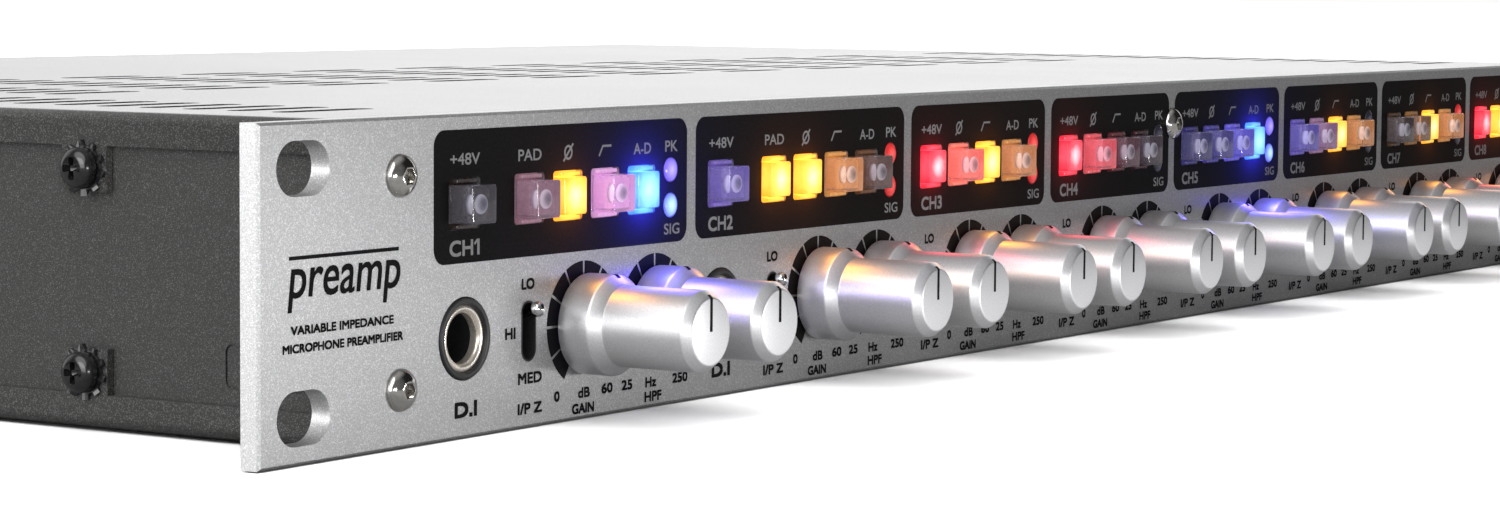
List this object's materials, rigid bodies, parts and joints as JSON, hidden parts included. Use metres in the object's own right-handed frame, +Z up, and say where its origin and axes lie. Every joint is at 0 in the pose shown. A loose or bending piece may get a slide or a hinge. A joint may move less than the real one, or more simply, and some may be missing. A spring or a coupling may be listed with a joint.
{
  "type": "rack-mount microphone preamp",
  "caption": "One-unit rack microphone preamp with turning gain and filter knobs, latching push buttons, impedance toggles, instrument jacks and a slotted case.",
  "frame": {"origin": "centre of the four rack slots, on the front face of the front panel", "axes": "+X right along the front panel, seen from the front; +Y back into the rack; +Z up"},
  "size_m": [0.4826, 0.2965, 0.0436],
  "materials": {
    "panel_aluminium": "bead-blasted and clear anodised",
    "case_paint": "fine textured powder coat",
    "zinc_steel": "zinc plated",
    "bright_steel": "polished stainless",
    "black_steel": "black oxide, semi-gloss",
    "knob_aluminium": "satin anodised",
    "chrome": "polished",
    "clear_plastic": "clear, polished",
    "black_plastic": "moulded",
    "circuit_board": "solder mask",
    "power_parts": "mixed parts on a board",
    "socket_metal": "satin nickel"
  },
  "bodies": {
    "chassis": {"front_panel": "panel_aluminium", "front_subpanel": "zinc_steel", "side_plates": "case_paint", "rear_panel": "case_paint", "top_cover": "case_paint", "bottom_cover": "case_paint", "panel_screws": "bright_steel", "cover_screws": "black_steel", "di_jacks": "black_plastic", "indicator_lenses": "clear_plastic", "potentiometers": "black_plastic", "switch_bodies": "black_plastic", "control_board": "circuit_board", "main_board": "circuit_board", "power_supply": "power_parts", "mic_sockets": "socket_metal", "rear_sockets": "socket_metal", "mains_inlet": "black_plastic"},
    "gain_knob_1": {"gain_knob_1": "knob_aluminium"},
    "filter_knob_1": {"filter_knob_1": "knob_aluminium"},
    "impedance_toggle_1": {"impedance_toggle_1": "chrome"},
    "gain_knob_2": {"gain_knob_2": "knob_aluminium"},
    "filter_knob_2": {"filter_knob_2": "knob_aluminium"},
    "impedance_toggle_2": {"impedance_toggle_2": "chrome"},
    "gain_knob_3": {"gain_knob_3": "knob_aluminium"},
    "filter_knob_3": {"filter_knob_3": "knob_aluminium"},
    "impedance_toggle_3": {"impedance_toggle_3": "chrome"},
    "gain_knob_4": {"gain_knob_4": "knob_aluminium"},
    "filter_knob_4": {"filter_knob_4": "knob_aluminium"},
    "impedance_toggle_4": {"impedance_toggle_4": "chrome"},
    "gain_knob_5": {"gain_knob_5": "knob_aluminium"},
    "filter_knob_5": {"filter_knob_5": "knob_aluminium"},
    "impedance_toggle_5": {"impedance_toggle_5": "chrome"},
    "gain_knob_6": {"gain_knob_6": "knob_aluminium"},
    "filter_knob_6": {"filter_knob_6": "knob_aluminium"},
    "impedance_toggle_6": {"impedance_toggle_6": "chrome"},
    "gain_knob_7": {"gain_knob_7": "knob_aluminium"},
    "filter_knob_7": {"filter_knob_7": "knob_aluminium"},
    "impedance_toggle_7": {"impedance_toggle_7": "chrome"},
    "gain_knob_8": {"gain_knob_8": "knob_aluminium"},
    "filter_knob_8": {"filter_knob_8": "knob_aluminium"},
    "impedance_toggle_8": {"impedance_toggle_8": "chrome"},
    "converter_button_1": {"converter_button_1": "clear_plastic"},
    "filter_button_1": {"filter_button_1": "clear_plastic"},
    "phase_button_1": {"phase_button_1": "clear_plastic"},
    "pad_button_1": {"pad_button_1": "clear_plastic"},
    "phantom_button_1": {"phantom_button_1": "clear_plastic"},
    "converter_button_2": {"converter_button_2": "clear_plastic"},
    "filter_button_2": {"filter_button_2": "clear_plastic"},
    "phase_button_2": {"phase_button_2": "clear_plastic"},
    "pad_button_2": {"pad_button_2": "clear_plastic"},
    "phantom_button_2": {"phantom_button_2": "clear_plastic"},
    "button_bank_3": {"button_bank_3": "clear_plastic"},
    "button_bank_4": {"button_bank_4": "clear_plastic"},
    "button_bank_5": {"button_bank_5": "clear_plastic"},
    "button_bank_6": {"button_bank_6": "clear_plastic"},
    "button_bank_7": {"button_bank_7": "clear_plastic"},
    "button_bank_8": {"button_bank_8": "clear_plastic"},
    "latched_buttons": {"latched_buttons": "clear_plastic"},
    "power_button": {"power_button": "clear_plastic"}
  },
  "joints": [
    {"name": "gain_1_turn", "type": "hinge", "parent": "chassis", "child": "gain_knob_1", "pos_m": [-0.17095, 0, -0.0084], "axis": [0, 1, 0], "range_deg": [-150, 150]},
    {"name": "filter_1_turn", "type": "hinge", "parent": "chassis", "child": "filter_knob_1", "pos_m": [-0.15315, 0, -0.0084], "axis": [0, 1, 0], "range_deg": [-150, 150]},
    {"name": "impedance_1_flip", "type": "hinge", "parent": "chassis", "child": "impedance_toggle_1", "pos_m": [-0.18405, 0.0062, -0.0085], "axis": [1, 0, 0], "range_deg": [0, 44]},
    {"name": "gain_2_turn", "type": "hinge", "parent": "chassis", "child": "gain_knob_2", "pos_m": [-0.10795, 0, -0.0084], "axis": [0, 1, 0], "range_deg": [-150, 150]},
    {"name": "filter_2_turn", "type": "hinge", "parent": "chassis", "child": "filter_knob_2", "pos_m": [-0.09015, 0, -0.0084], "axis": [0, 1, 0], "range_deg": [-150, 150]},
    {"name": "impedance_2_flip", "type": "hinge", "parent": "chassis", "child": "impedance_toggle_2", "pos_m": [-0.12105, 0.0062, -0.0085], "axis": [1, 0, 0], "range_deg": [0, 44]},
    {"name": "gain_3_turn", "type": "hinge", "parent": "chassis", "child": "gain_knob_3", "pos_m": [-0.06005, 0, -0.0084], "axis": [0, 1, 0], "range_deg": [-150, 150]},
    {"name": "filter_3_turn", "type": "hinge", "parent": "chassis", "child": "filter_knob_3", "pos_m": [-0.04225, 0, -0.0084], "axis": [0, 1, 0], "range_deg": [-150, 150]},
    {"name": "impedance_3_flip", "type": "hinge", "parent": "chassis", "child": "impedance_toggle_3", "pos_m": [-0.07315, 0.0062, -0.0085], "axis": [1, 0, 0], "range_deg": [0, 44]},
    {"name": "gain_4_turn", "type": "hinge", "parent": "chassis", "child": "gain_knob_4", "pos_m": [-0.01215, 0, -0.0084], "axis": [0, 1, 0], "range_deg": [-150, 150]},
    {"name": "filter_4_turn", "type": "hinge", "parent": "chassis", "child": "filter_knob_4", "pos_m": [0.00565, 0, -0.0084], "axis": [0, 1, 0], "range_deg": [-150, 150]},
    {"name": "impedance_4_flip", "type": "hinge", "parent": "chassis", "child": "impedance_toggle_4", "pos_m": [-0.02525, 0.0062, -0.0085], "axis": [1, 0, 0], "range_deg": [0, 44]},
    {"name": "gain_5_turn", "type": "hinge", "parent": "chassis", "child": "gain_knob_5", "pos_m": [0.03575, 0, -0.0084], "axis": [0, 1, 0], "range_deg": [-150, 150]},
    {"name": "filter_5_turn", "type": "hinge", "parent": "chassis", "child": "filter_knob_5", "pos_m": [0.05355, 0, -0.0084], "axis": [0, 1, 0], "range_deg": [-150, 150]},
    {"name": "impedance_5_flip", "type": "hinge", "parent": "chassis", "child": "impedance_toggle_5", "pos_m": [0.02265, 0.0062, -0.0085], "axis": [1, 0, 0], "range_deg": [0, 44]},
    {"name": "gain_6_turn", "type": "hinge", "parent": "chassis", "child": "gain_knob_6", "pos_m": [0.08365, 0, -0.0084], "axis": [0, 1, 0], "range_deg": [-150, 150]},
    {"name": "filter_6_turn", "type": "hinge", "parent": "chassis", "child": "filter_knob_6", "pos_m": [0.10145, 0, -0.0084], "axis": [0, 1, 0], "range_deg": [-150, 150]},
    {"name": "impedance_6_flip", "type": "hinge", "parent": "chassis", "child": "impedance_toggle_6", "pos_m": [0.07055, 0.0062, -0.0085], "axis": [1, 0, 0], "range_deg": [0, 44]},
    {"name": "gain_7_turn", "type": "hinge", "parent": "chassis", "child": "gain_knob_7", "pos_m": [0.13155, 0, -0.0084], "axis": [0, 1, 0], "range_deg": [-150, 150]},
    {"name": "filter_7_turn", "type": "hinge", "parent": "chassis", "child": "filter_knob_7", "pos_m": [0.14935, 0, -0.0084], "axis": [0, 1, 0], "range_deg": [-150, 150]},
    {"name": "impedance_7_flip", "type": "hinge", "parent": "chassis", "child": "impedance_toggle_7", "pos_m": [0.11845, 0.0062, -0.0085], "axis": [1, 0, 0], "range_deg": [0, 44]},
    {"name": "gain_8_turn", "type": "hinge", "parent": "chassis", "child": "gain_knob_8", "pos_m": [0.17945, 0, -0.0084], "axis": [0, 1, 0], "range_deg": [-150, 150]},
    {"name": "filter_8_turn", "type": "hinge", "parent": "chassis", "child": "filter_knob_8", "pos_m": [0.19725, 0, -0.0084], "axis": [0, 1, 0], "range_deg": [-150, 150]},
    {"name": "impedance_8_flip", "type": "hinge", "parent": "chassis", "child": "impedance_toggle_8", "pos_m": [0.16635, 0.0062, -0.0085], "axis": [1, 0, 0], "range_deg": [0, 44]},
    {"name": "converter_1_press", "type": "slide", "parent": "chassis", "child": "converter_button_1", "axis": [0, 1, 0], "range_m": [-0.002, 0]},
    {"name": "filter_1_press", "type": "slide", "parent": "chassis", "child": "filter_button_1", "axis": [0, 1, 0], "range_m": [0, 0.002], "stiffness_N_per_m": 400, "springref_m": -0.001},
    {"name": "phase_1_press", "type": "slide", "parent": "chassis", "child": "phase_button_1", "axis": [0, 1, 0], "range_m": [-0.002, 0]},
    {"name": "pad_1_press", "type": "slide", "parent": "chassis", "child": "pad_button_1", "axis": [0, 1, 0], "range_m": [0, 0.002], "stiffness_N_per_m": 400, "springref_m": -0.001},
    {"name": "phantom_1_press", "type": "slide", "parent": "chassis", "child": "phantom_button_1", "axis": [0, 1, 0], "range_m": [0, 0.002], "stiffness_N_per_m": 400, "springref_m": -0.001},
    {"name": "converter_2_press", "type": "slide", "parent": "chassis", "child": "converter_button_2", "axis": [0, 1, 0], "range_m": [0, 0.002], "stiffness_N_per_m": 400, "springref_m": -0.001},
    {"name": "filter_2_press", "type": "slide", "parent": "chassis", "child": "filter_button_2", "axis": [0, 1, 0], "range_m": [0, 0.002], "stiffness_N_per_m": 400, "springref_m": -0.001},
    {"name": "phase_2_press", "type": "slide", "parent": "chassis", "child": "phase_button_2", "axis": [0, 1, 0], "range_m": [-0.002, 0]},
    {"name": "pad_2_press", "type": "slide", "parent": "chassis", "child": "pad_button_2", "axis": [0, 1, 0], "range_m": [-0.002, 0]},
    {"name": "phantom_2_press", "type": "slide", "parent": "chassis", "child": "phantom_button_2", "axis": [0, 1, 0], "range_m": [0, 0.002], "stiffness_N_per_m": 400, "springref_m": -0.001},
    {"name": "bank_3_press", "type": "slide", "parent": "chassis", "child": "button_bank_3", "axis": [0, 1, 0], "range_m": [0, 0.002], "stiffness_N_per_m": 400, "springref_m": -0.001},
    {"name": "bank_4_press", "type": "slide", "parent": "chassis", "child": "button_bank_4", "axis": [0, 1, 0], "range_m": [0, 0.002], "stiffness_N_per_m": 400, "springref_m": -0.001},
    {"name": "bank_5_press", "type": "slide", "parent": "chassis", "child": "button_bank_5", "axis": [0, 1, 0], "range_m": [0, 0.002], "stiffness_N_per_m": 400, "springref_m": -0.001},
    {"name": "bank_6_press", "type": "slide", "parent": "chassis", "child": "button_bank_6", "axis": [0, 1, 0], "range_m": [0, 0.002], "stiffness_N_per_m": 400, "springref_m": -0.001},
    {"name": "bank_7_press", "type": "slide", "parent": "chassis", "child": "button_bank_7", "axis": [0, 1, 0], "range_m": [0, 0.002], "stiffness_N_per_m": 400, "springref_m": -0.001},
    {"name": "bank_8_press", "type": "slide", "parent": "chassis", "child": "button_bank_8", "axis": [0, 1, 0], "range_m": [0, 0.002], "stiffness_N_per_m": 400, "springref_m": -0.001},
    {"name": "latched_press", "type": "slide", "parent": "chassis", "child": "latched_buttons", "axis": [0, 1, 0], "range_m": [-0.002, 0]},
    {"name": "power_press", "type": "slide", "parent": "chassis", "child": "power_button", "axis": [0, 1, 0], "range_m": [-0.002, 0]}
  ]
}
